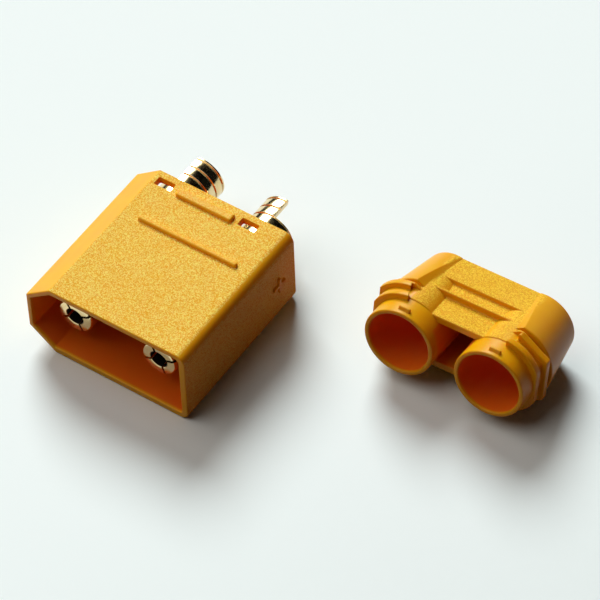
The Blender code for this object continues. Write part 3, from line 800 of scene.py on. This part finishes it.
def tube_shapes(size, side):
    """The tube, the thicker body behind its mouth and the way through both."""
    steps = size.round_steps
    centre = (side * size.contact, 0.0)
    end = size.cover_length - WEB_REAR_WALL / 2
    taper = end - TUBE_TAPER_LENGTH
    tube_line = sleeve_line(0.0, size.tube, taper, size.tube - TUBE_TAPER, end, TUBE_RIM, 5)
    tube = turned("tube", tube_line, steps, centre)
    body_end = size.cover_length - WEB_REAR_WALL / 3
    start = TUBE_REACH + WEB_LIP_SETBACK + BODY_SETBACK
    radius = size.tube + BODY_STEP
    body_line = sleeve_line(start, radius, taper, radius - BODY_TAPER, body_end, BODY_RIM, 4)
    body = turned("body", body_line, steps, centre, True, LOBE_SQUEEZE[side])
    hole = size.bore - WIRE_HOLE_STEP
    neck = size.cover_length - WIRE_HOLE_LENGTH
    way = [(size.bore - inward, y) for inward, y in flared_end(0.0, TUBE_FLARE, 1)]
    way += [(size.bore, neck - WIRE_HOLE_TAPER), (hole, neck)]
    wire_end = reversed(flared_end(size.cover_length, WIRE_HOLE_FLARE, -1))
    way += [(hole - inward, y) for inward, y in wire_end]
    bore = turned("bore", way, steps, centre, True)
    return tube, body, bore


def lobe(size, side):
    start, end = lobe_start(), size.cover_length
    front, rear = size.tube + LOBE_STEP, size.tube + LOBE_STEP - LOBE_TAPER
    line = [(CORE_RADIUS, start), (front, start), (rear, end), (CORE_RADIUS, end)]
    profile = fillet(line, LOBE_EDGES, closed=False)
    return turned("lobe", profile, size.round_steps, (side * size.contact, 0.0), False, LOBE_SQUEEZE[side])


def lobe_start():
    return TUBE_REACH + FRONT_RIB_LENGTH + RIB_GAP + REAR_RIB_LENGTH + REAR_GROOVE_LENGTH


def rib_cutaway(size):
    """What the ribs leave clear between the tubes, seen from above."""
    slant = (RIB_CUT_REAR - RIB_CUT_FRONT) / RIB_CUT_LENGTH
    right = [
        Vector((size.contact + RIB_CUT_FRONT - slant * OVERCUT, TUBE_REACH - OVERCUT)),
        Vector((size.contact + RIB_CUT_REAR, TUBE_REACH + RIB_CUT_LENGTH)),
    ]
    reach = 2 * size.tube_diameter
    return prism("rib_cutaway", with_mirror(right), [(0.0, -reach), (0.0, reach)], "XY")


def lobe_cutaway(size):
    """What the lobes leave clear between them, with a sloped step on each side."""
    top = size.tube_diameter + STEP_TOP_RISE
    foot = size.tube + STEP_FOOT_RISE
    edge = size.contact - LOBE_CUT_INSET
    flare = (top - foot) / math.tan(STEP_ANGLE)
    corners = [(edge + flare, -top), (edge, -foot), (edge, foot), (edge + flare, top)]
    outline = with_mirror([Vector(corner) for corner in corners])
    start = TUBE_REACH + RIB_CUT_LENGTH - CUT_LAP
    return prism("lobe_cutaway", outline, [(0.0, start), (0.0, size.cover_length + OVERCUT)])


def latches(size, side):
    """A ramped catch on the top and one on the bottom of a tube."""
    crest, root = size.tube + LATCH_HEIGHT, size.tube - LATCH_ROOT
    end = LATCH_SETBACK + LATCH_LENGTH
    ramp = [(LATCH_SETBACK, root), (LATCH_SETBACK + LATCH_LENGTH / 2, crest), (end, crest), (end, root)]
    made = []
    centre, reach = side * size.contact, LATCH_WIDTH / 2
    for sign in (1, -1):
        points = [(y, sign * z) for y, z in ramp][::-sign]
        outline = fillet(points, LATCH_EDGES, steps=3)
        made.append(soft_prism("latch", outline, centre - reach, centre + reach, LATCH_END, "YZ"))
    return made


def cover_stand(size):
    """Where the cover lies: tilted back on the tapered underside of its lobes."""
    rear = size.tube + LOBE_STEP - LOBE_TAPER
    tilt = math.atan2(LOBE_TAPER, size.cover_length - lobe_start())
    lift = size.cover_length * math.sin(tilt) + rear * math.cos(tilt)
    place = Vector((*COVER_PLACE, lift)) * MM
    return Matrix.Translation(place) @ Matrix.Rotation(COVER_TURN, 4, "Z") @ Matrix.Rotation(-tilt, 4, "X")


def make_cover(context):
    size = sizes_in_mm(context)
    edge = size.cover_edge
    start = TUBE_REACH + FRONT_RIB_LENGTH + RIB_GAP
    ribs = prism("ribs", rear_rib_outline(size, RIB_GROOVE_INSET), [
        (0.0, TUBE_REACH + FRONT_RIB_LENGTH / 2), (0.0, lobe_start() + RIB_GAP),
    ])
    combine(ribs, [
        soft_prism("front_rib", front_rib_outline(size), TUBE_REACH, TUBE_REACH + FRONT_RIB_LENGTH, edge),
        soft_prism("rear_rib", rear_rib_outline(size), start, start + REAR_RIB_LENGTH, edge),
        lobe(size, -1), lobe(size, 1),
    ], "UNION")
    combine(ribs, [rib_cutaway(size), lobe_cutaway(size)], "DIFFERENCE")

    reach = size.contact - LOBE_CUT_INSET + WEB_OVERLAP
    cover = prism("wire_cover_moulding", web_outline(size), [(0.0, -reach), (0.0, reach)], "YZ")
    bores = []
    for side in (-1, 1):
        tube, body, bore = tube_shapes(size, side)
        combine(cover, [tube, body], "UNION")
        bores.append(bore)
    combine(cover, [ribs], "UNION")
    combine(cover, latches(size, -1) + latches(size, 1), "UNION")
    combine(cover, bores, "DIFFERENCE")
    cover.matrix_world = cover_stand(size)
    finish_piece(cover, cover_nylon(context), "wire_cover", COVER_CREASE)


# Finishes


class Recipe:
    """The node tree of a material or of the world, built from its coordinates to its shader."""

    def __init__(self, owner):
        owner.use_nodes = True
        self.owner = owner
        self.tree = owner.node_tree

    def add(self, kind, sockets=None, **settings):
        """A node with its settings, and its sockets filled with values or other sockets."""
        made = self.tree.nodes.new(kind)
        for key, value in settings.items():
            setattr(made, key, value)
        self.fill(made, sockets or {})
        return made

    def fill(self, made, sockets):
        """Sets a node's own sockets, or links them to what changes from place to place."""
        for key, value in sockets.items():
            if isinstance(value, bpy.types.Node):
                value = value.outputs[0]
            if isinstance(value, bpy.types.NodeSocket):
                self.tree.links.new(value, made.inputs[key])
            else:
                made.inputs[key].default_value = value

    def dress(self, looks):
        self.fill(self.tree.nodes["Principled BSDF"], looks)

    def math(self, operation, first, second=0.0, third=0.0):
        sockets = {0: first, 1: second, 2: third}
        return self.add("ShaderNodeMath", sockets, operation=operation).outputs[0]

    def times(self, first, *others):
        """The product of all the values."""
        for other in others:
            first = self.math("MULTIPLY", first, other)
        return first

    def unsigned(self, value):
        return self.math("ABSOLUTE", value)

    def ramp(self, value, low, high, start=0.0, end=1.0):
        """The value brought from one range to another, with soft ends."""
        sockets = {"Value": value, "From Min": low, "From Max": high, "To Min": start, "To Max": end}
        return self.add("ShaderNodeMapRange", sockets, interpolation_type="SMOOTHSTEP").outputs[0]

    def past(self, value, place, band, start=0.0, end=1.0):
        """A ramp over a band beside a place, both in millimetres."""
        low, high = [(place + margin) * MM for margin in band]
        return self.ramp(value, low, high, start, end)

    def before(self, value, place, band):
        return self.past(value, place, band, 1.0, 0.0)

    def mix(self, factor, first, second):
        sockets = {0: factor, MIX_FIRST: first, MIX_SECOND: second}
        return self.add("ShaderNodeMix", sockets, data_type="RGBA").outputs[MIX_RESULT]

    def noise(self, vector, size_mm, detail, rough):
        scale = 1.0 / (size_mm * MM)
        sockets = {"Vector": vector, "Scale": scale, "Detail": detail, "Roughness": rough}
        return self.add("ShaderNodeTexNoise", sockets).outputs[0]

    def parts(self, vector):
        return self.add("ShaderNodeSeparateXYZ", {0: vector}).outputs


def new_material(name):
    return Recipe(bpy.data.materials.new(name))


def with_alpha(rgb, tint=(1.0, 1.0, 1.0)):
    return (*(c * f for c, f in zip(rgb, tint)), 1.0)


def nylon(name, main, glint_highlight_colour, pit_shading, finishes, mask_for, painted_shade_for, soft_edge=0.0):
    """Moulded nylon: broad tone drift, and a spark-eroded grain where the mask is one. Its raised points get
    painted glint highlights and its pits painted shade, and painted shade deepens the recesses and the
    right-hand sides.
    """
    recipe = new_material(name)
    where = recipe.add("ShaderNodeTexCoord").outputs
    point, normal = where["Object"], where["Normal"]
    mask = mask_for(recipe, point, normal)
    sockets = {"Vector": point, "Scale": 1.0 / finishes.grain_size}
    points = recipe.add("ShaderNodeTexVoronoi", sockets).outputs
    fine = recipe.noise(point, finishes.grain_size / MM * GRAIN_FINENESS, *GRAIN_DETAIL)
    chance = recipe.parts(points["Color"])[0]
    speck = recipe.math("MULTIPLY_ADD", chance, CHANCE_SHARE, recipe.times(fine, 1.0 - CHANCE_SHARE))
    # Painted glint highlights on the raised points of the grain
    glint = recipe.times(recipe.ramp(speck, *GLINT_RANGE), mask)
    # Painted shade in the grain's pits
    pit_shade = recipe.times(recipe.ramp(speck, *PIT_SHADE_RANGE, 1.0, 0.0), mask, pit_shading)
    drift = recipe.noise(point, *DRIFT)
    base = recipe.mix(recipe.ramp(drift, *DRIFT_RANGE), with_alpha(main, DRIFT_TINT), with_alpha(main))
    pit_shaded = recipe.mix(pit_shade, base, with_alpha(main, PIT_SHADE_TINT))
    raised = recipe.mix(glint, pit_shaded, with_alpha(glint_highlight_colour))
    painted_shade = painted_shade_for(recipe, point, normal)
    hills = recipe.math("MULTIPLY_ADD", points["Distance"], CELL_HEIGHT, fine)
    waves = recipe.times(recipe.noise(point, *WAVES), WAVE_HEIGHT)
    height = recipe.math("MULTIPLY_ADD", hills, mask, waves)
    relief = {"Strength": NYLON_BUMP, "Distance": finishes.grain_depth, "Height": height}
    smooth = recipe.ramp(drift, *DRIFT_ROUGHNESS)
    if soft_edge:
        relief["Normal"] = recipe.add("ShaderNodeBevel", {"Radius": soft_edge * MM}, samples=EDGE_SAMPLES)
    recipe.dress({
        "Base Color": recipe.mix(painted_shade, raised, with_alpha(finishes.recess_painted_shade)),
        "Roughness": recipe.math("MULTIPLY_ADD", mask, GRAIN_ROUGHNESS, smooth),
        "Normal": recipe.add("ShaderNodeBump", relief), **NYLON_SHINE,
    })
    return recipe.owner


def right_side_painted_shade(recipe, normal):
    """Painted shade: a deeper orange on the right-hand sides, turned away from the key light, which the rims
    and the ends don't have.
    """
    nx, ny, _ = recipe.parts(normal)
    sideways = recipe.ramp(recipe.unsigned(ny), *END_FACING, 1.0, 0.0)
    return recipe.times(recipe.ramp(nx, *SIDE_FACING, 0.0, SIDE_PAINTED_SHADE), sideways)


def housing_nylon(context):
    """Grain on the four outer faces, less on the marks, none on the key chamfers, the rims or inside."""
    size = sizes_in_mm(context)
    half = size.housing_width / 2

    def outer_faces(recipe, point, normal):
        x, _, z = recipe.parts(point)
        nx, _, nz = recipe.parts(normal)
        from_axis = recipe.unsigned(recipe.math("SUBTRACT", z, size.axis * MM))
        grained = [
            recipe.times(
                recipe.ramp(recipe.unsigned(facing), *SQUARE_ON),
                recipe.past(out, reach, GRAIN_BAND),
                recipe.past(out, reach, MARK_BAND, 1.0, MARK_GRAIN),
            )
            for facing, out, reach in ((nz, from_axis, size.axis), (nx, recipe.unsigned(x), half))
        ]
        return recipe.math("MAXIMUM", *grained)

    # Painted shade: deeper orange inside the mouth, on the rear face too, and on the right-hand sides
    def mouth_painted_shade(recipe, point, normal):
        x, y, z = recipe.parts(point)
        tall = size.axis
        run, rise = KEY_CHAMFER
        steep = math.hypot(run, rise)
        from_axis = recipe.unsigned(recipe.math("SUBTRACT", z, tall * MM))
        from_side = recipe.math("MULTIPLY_ADD", x, rise / steep, half * rise / steep * MM)
        foot = (tall * run - run * rise) / steep * MM
        from_face = recipe.math("MULTIPLY_ADD", from_axis, -run / steep, foot)
        inside = recipe.times(
            recipe.before(recipe.unsigned(x), half, MOUTH_SIDE_BAND),
            recipe.before(from_axis, tall, MOUTH_FACE_BAND),
            recipe.past(recipe.math("ADD", from_side, from_face), 0.0, KEY_BAND),
            recipe.past(y, size.mouth, MOUTH_DEPTH_BAND),
        )
        return recipe.math("MAXIMUM", inside, right_side_painted_shade(recipe, normal))

    finishes = context.scene.connector_finishes
    return nylon(
        "Housing nylon, grained", finishes.housing_colour, finishes.glint_painted_highlight, HOUSING_PIT_SHADE,
        finishes, outer_faces, mouth_painted_shade,
    )


def cover_nylon(context):
    """Grain on the web and the inner sides of the bodies, none on the tubes, ribs and lobes."""
    size = sizes_in_mm(context)

    def web_faces(recipe, point, normal):
        x, y, z = recipe.parts(point)
        height = recipe.unsigned(z)
        return recipe.times(
            recipe.before(recipe.unsigned(x), size.contact, WEB_SIDE_BAND),
            recipe.past(y, TUBE_REACH, WEB_FRONT_BAND),
            recipe.before(height, size.tube, WEB_TOP_BAND),
            recipe.past(height, 0.0, WEB_HEIGHT_BAND),
            recipe.ramp(recipe.unsigned(recipe.parts(normal)[2]), *WEB_FACING),
        )

    # Painted shade: deeper orange inside the tubes, between the tubes and on the right-hand sides
    def tubes_painted_shade(recipe, point, normal):
        x, y, z = recipe.parts(point)
        out = recipe.unsigned(x)
        off = recipe.math("SUBTRACT", out, size.contact * MM)
        radius = recipe.math("SQRT", recipe.math("MULTIPLY_ADD", off, off, recipe.times(z, z)))
        bore = recipe.times(
            recipe.before(radius, size.bore, TUBE_BORE_BAND),
            recipe.past(y, 0.0, TUBE_DEPTH_BAND),
        )
        gap_painted_shade = recipe.times(
            recipe.before(out, 0.0, GAP_SIDE_BAND),
            recipe.before(recipe.unsigned(z), 0.0, GAP_HEIGHT_BAND),
            recipe.past(y, 0.0, GAP_DEPTH_BAND),
        )
        hollow_painted_shade = recipe.math("MAXIMUM", bore, gap_painted_shade)
        return recipe.math("MAXIMUM", hollow_painted_shade, right_side_painted_shade(recipe, normal))

    finishes = context.scene.connector_finishes
    return nylon(
        "Cover nylon, grained web", finishes.cover_colour, finishes.web_glint_painted_highlight, WEB_PIT_SHADE,
        finishes, web_faces, tubes_painted_shade, COVER_SOFT_EDGE,
    )


def gold_plating(context):
    """Bright pale gold over turned brass: fine turning lines, a warm painted shade in the grooves and a
    near-black painted shade inside the pin bores.
    """
    name = "Gold plating, turned"
    if name in bpy.data.materials:
        return bpy.data.materials[name]
    finishes = context.scene.connector_finishes
    recipe = new_material(name)
    point = recipe.add("ShaderNodeTexCoord").outputs["Object"]
    x, y, z = recipe.parts(point)
    across = recipe.math("SQRT", recipe.math("MULTIPLY_ADD", x, x, recipe.times(z, z)))
    # Painted shade at the foot of the cup grooves
    groove = recipe.times(
        recipe.before(across, BARREL_RADIUS, GROOVE_BAND),
        recipe.past(across, BARREL_RADIUS - GROOVE_DEPTH, CUP_WALL_BAND),
        recipe.past(y, 0.0, CUP_BAND),
    )
    # Painted shade, near black, inside the pin bores
    bore = recipe.before(across, PIN_BORE_RADIUS, PIN_BORE_BAND)
    rings = recipe.add("ShaderNodeCombineXYZ", {"X": recipe.times(across, TURNING_STRETCH), "Y": y})
    lines = recipe.noise(rings, *TURNING_LINES)
    relief = {"Strength": TURNING_BUMP, "Distance": TURNING_HEIGHT * MM, "Height": lines}
    blotch = recipe.noise(point, *BLOTCH)
    plating, patches = finishes.plating_colour, recipe.ramp(blotch, *BLOTCH_RANGE)
    base = recipe.mix(patches, with_alpha(plating), with_alpha(plating, BLOTCH_TINT))
    grooved = recipe.mix(groove, base, with_alpha(finishes.groove_painted_shade))
    dulled = recipe.ramp(blotch, *BLOTCH_ROUGHNESS)
    recipe.dress({
        "Base Color": recipe.mix(bore, grooved, with_alpha(finishes.bore_painted_shade)),
        "Roughness": recipe.math("MULTIPLY_ADD", bore, BORE_ROUGHNESS, dulled),
        "Normal": recipe.add("ShaderNodeBump", relief), "Metallic": 1.0,
    })
    return recipe.owner


# Stage


def seen_directly(recipe):
    """One for the rays of the camera, of mirrors and of glass, and zero for spread light."""
    ray = recipe.add("ShaderNodeLightPath").outputs
    seen = recipe.math("MAXIMUM", ray["Is Camera Ray"], ray["Is Glossy Ray"])
    return recipe.math("MAXIMUM", seen, ray["Is Transmission Ray"])


def pale_floor(stage):
    """A matte sheet, a little greyer to the right from painted shade for the key light's falloff, that
    throws only some of its light back up.
    """
    recipe = new_material("Pale floor")
    point = recipe.add("ShaderNodeTexCoord").outputs["Object"]
    x, y, _ = recipe.parts(point)
    across = recipe.ramp(recipe.math("MULTIPLY_ADD", y, FLOOR_SLANT, x), *FLOOR_FALLOFF_BAND)
    tone = recipe.times(across, recipe.ramp(recipe.noise(point, *FLOOR_FIBRE), *FLOOR_TONE))
    cool = stage.floor_colour
    pale = recipe.mix(tone, with_alpha(cool), with_alpha(cool, FLOOR_FALLOFF_SHADE))
    recipe.dress({"Base Color": recipe.mix(seen_directly(recipe), FLOOR_BOUNCE, pale), **FLOOR_SHINE})
    return recipe.owner


def room_light(stage):
    """Dim light from the room, over a pale background that the camera and the metal see."""
    recipe = Recipe(bpy.data.worlds.new("Studio room"))
    bpy.context.scene.world = recipe.owner
    recipe.tree.nodes.clear()
    where = recipe.add("ShaderNodeTexCoord").outputs["Generated"]
    sockets = {0: where, 1: (-KEY_WAY).normalized()}
    facing = recipe.add("ShaderNodeVectorMath", sockets, operation="DOT_PRODUCT").outputs["Value"]
    shade = recipe.add("ShaderNodeMapRange", {
        "Value": facing, "From Min": ROOM_EDGE,
        "To Min": ROOM_DIM * stage.room_strength, "To Max": ROOM_BRIGHT * stage.room_strength,
    })
    room = recipe.add("ShaderNodeBackground", {"Strength": shade})
    backdrop = recipe.add("ShaderNodeBackground", {"Color": BACKDROP})
    choose = recipe.add("ShaderNodeMixShader", {0: seen_directly(recipe), 1: room, 2: backdrop})
    recipe.add("ShaderNodeOutputWorld", {0: choose})


def soft_sun(name, way, strength, width, tint):
    """A wide, even light that travels one way."""
    lamp = bpy.data.lights.new(name, "SUN")
    lamp.energy = strength
    lamp.angle = width
    lamp.color = tint
    sun = put_in_scene(name, lamp)
    sun.rotation_mode = "QUATERNION"
    sun.rotation_quaternion = way.to_track_quat("-Z", "Y")


def dark_cards():
    """Black cards out of the camera's sight, which the plated metal mirrors as dark bands."""
    shape = bmesh.new()
    for corners in CARDS:
        shape.faces.new([shape.verts.new(corner) for corner in corners])
    cards = object_from("dark_cards", shape)
    recipe = new_material("Black card")
    fibre = recipe.noise(recipe.add("ShaderNodeTexCoord").outputs["Object"], *CARD_FIBRE)
    recipe.dress({"Base Color": recipe.mix(fibre, *CARD_BLACKS), "Specular IOR Level": 0.0})
    cards.data.materials.append(recipe.owner)
    cards.visible_camera = False
    cards.visible_shadow = False


def set_stage(context):
    stage = context.scene.connector_stage
    shape = bmesh.new()
    bmesh.ops.create_grid(shape, x_segments=1, y_segments=1, size=FLOOR_REACH)
    floor = object_from("studio_floor", shape)
    floor.location.z = -FLOOR_DROP
    floor.data.materials.append(pale_floor(stage))
    dark_cards()
    soft_sun("Key light", KEY_WAY, stage.key_strength, stage.key_softness, stage.key_tint)
    soft_sun("Fill light", FILL_WAY, stage.fill_strength, FILL_SOFTNESS, stage.fill_tint)
    room_light(stage)

    lens = bpy.data.cameras.new("Camera")
    lens.sensor_width = CAMERA_SENSOR
    lens.lens = CAMERA_LENS
    lens.clip_start, lens.clip_end = CAMERA_CLIP
    camera = put_in_scene("Camera", lens)
    look, up = Vector(CAMERA_LOOK).normalized(), Vector(CAMERA_UP).normalized()
    right = look.cross(up).normalized()
    camera.matrix_world = Matrix.Translation(CAMERA_PLACE) @ Matrix((right, up, -look)).transposed().to_4x4()
    context.scene.camera = camera
    context.scene.view_settings.view_transform = "Standard"


# Operators and panel


class CONNECTOR_OT_housing(bpy.types.Operator):
    """Make the pin housing with its keyed mouth, latch windows and raised marks"""

    bl_idname = "connector.housing"
    bl_label = "Pin Housing"

    def execute(self, context):
        make_housing(context)
        return {"FINISHED"}


class CONNECTOR_OT_contacts(bpy.types.Operator):
    """Make the two split contacts with their grooved solder cups"""

    bl_idname = "connector.contacts"
    bl_label = "Contacts"

    def execute(self, context):
        make_contacts(context)
        return {"FINISHED"}


class CONNECTOR_OT_cover(bpy.types.Operator):
    """Make the push-on wire cover, lying beside the housing"""

    bl_idname = "connector.cover"
    bl_label = "Wire Cover"

    def execute(self, context):
        make_cover(context)
        return {"FINISHED"}


class CONNECTOR_OT_stage(bpy.types.Operator):
    """Set the floor, the light and the camera"""

    bl_idname = "connector.stage"
    bl_label = "Stage"

    def execute(self, context):
        set_stage(context)
        return {"FINISHED"}


class CONNECTOR_PT_panel(bpy.types.Panel):
    """Sizes, finishes and the operators"""

    bl_label = "Battery Connector"
    bl_idname = "CONNECTOR_PT_panel"
    bl_space_type = "VIEW_3D"
    bl_region_type = "UI"
    bl_category = "Connector"

    def draw(self, context):
        for group in ("connector_sizes", "connector_finishes", "connector_stage"):
            box = self.layout.box()
            stored = getattr(context.scene, group)
            for key in stored.__annotations__:
                box.prop(stored, key)
        for operator in OPERATORS:
            self.layout.operator(operator.bl_idname)


GROUPS = {
    "connector_sizes": ConnectorSizes,
    "connector_finishes": ConnectorFinishes,
    "connector_stage": ConnectorStage,
}
OPERATORS = (CONNECTOR_OT_housing, CONNECTOR_OT_contacts, CONNECTOR_OT_cover, CONNECTOR_OT_stage)


def register():
    for made in (*GROUPS.values(), *OPERATORS, CONNECTOR_PT_panel):
        bpy.utils.register_class(made)
    for name, group in GROUPS.items():
        setattr(bpy.types.Scene, name, PointerProperty(type=group))


def unregister():
    for name in GROUPS:
        delattr(bpy.types.Scene, name)
    for made in reversed((*GROUPS.values(), *OPERATORS, CONNECTOR_PT_panel)):
        bpy.utils.unregister_class(made)


def main():
    register()
    bpy.ops.connector.housing()
    bpy.ops.connector.contacts()
    bpy.ops.connector.cover()
    bpy.ops.connector.stage()
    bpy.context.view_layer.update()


if __name__ == "__main__":
    main()
